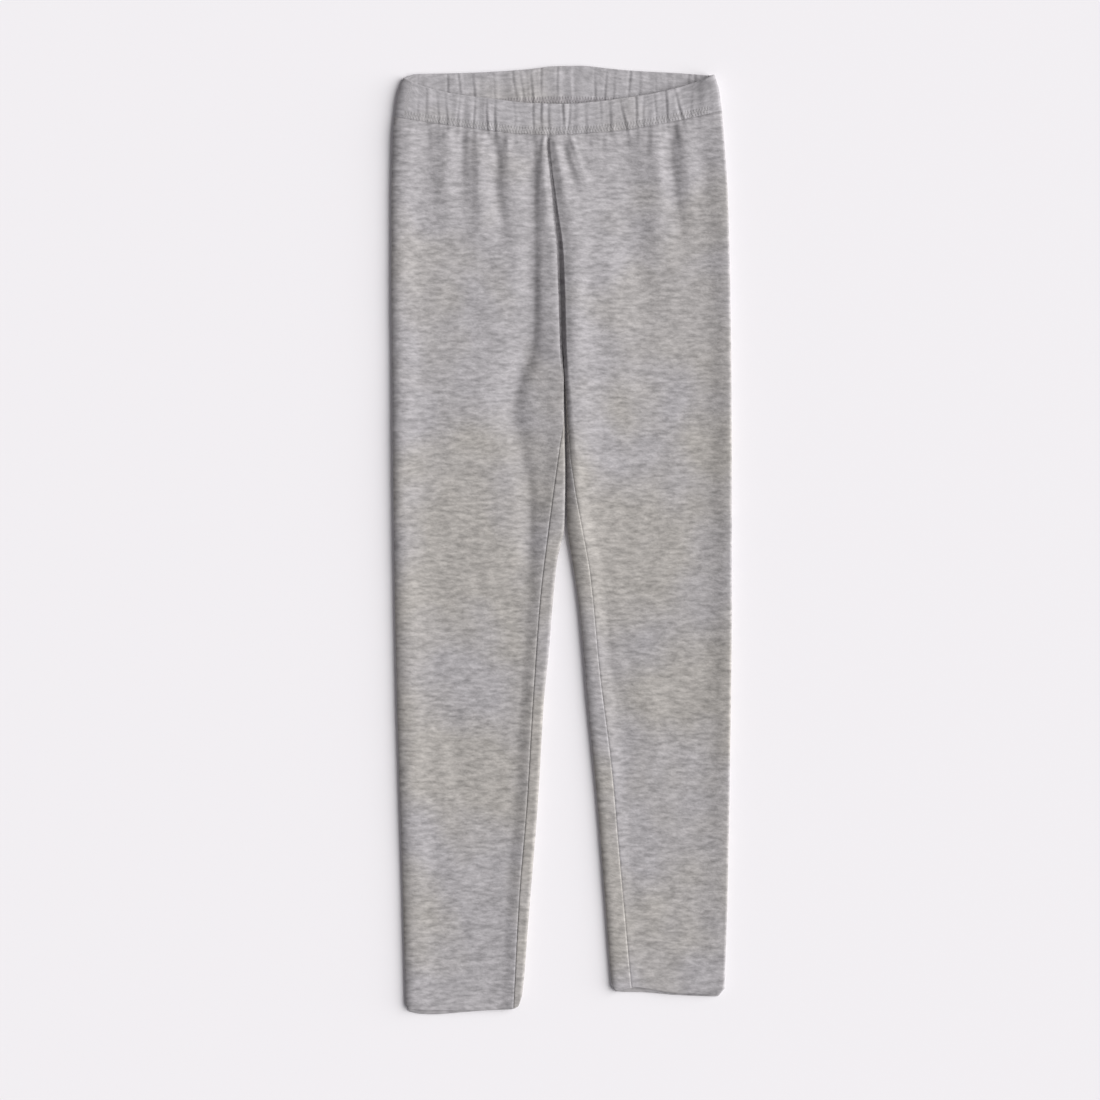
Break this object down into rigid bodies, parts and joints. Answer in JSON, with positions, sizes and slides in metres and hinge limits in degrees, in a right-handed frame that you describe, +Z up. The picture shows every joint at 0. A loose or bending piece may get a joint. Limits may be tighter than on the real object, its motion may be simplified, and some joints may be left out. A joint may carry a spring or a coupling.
{
  "type": "leggings",
  "caption": "Child's full-length jersey leggings with a gathered elastic waist, laid flat front up on a surface.",
  "frame": {"origin": "centre of the footprint, on the surface that the leggings lie on", "axes": "+Y along the garment from the hems to the waist, +Z up out of the front, +X to the right seen from above"},
  "size_m": [0.2753, 0.7673, 0.0083],
  "materials": {
    "jersey": "grey heather single jersey, matt",
    "casing_jersey": "grey heather jersey gathered on elastic",
    "thread": "pale grey sewing thread"
  },
  "bodies": {
    "root": {"leg_panel_left": "jersey", "leg_panel_right": "jersey", "waistband": "casing_jersey"}
  },
  "joints": []
}
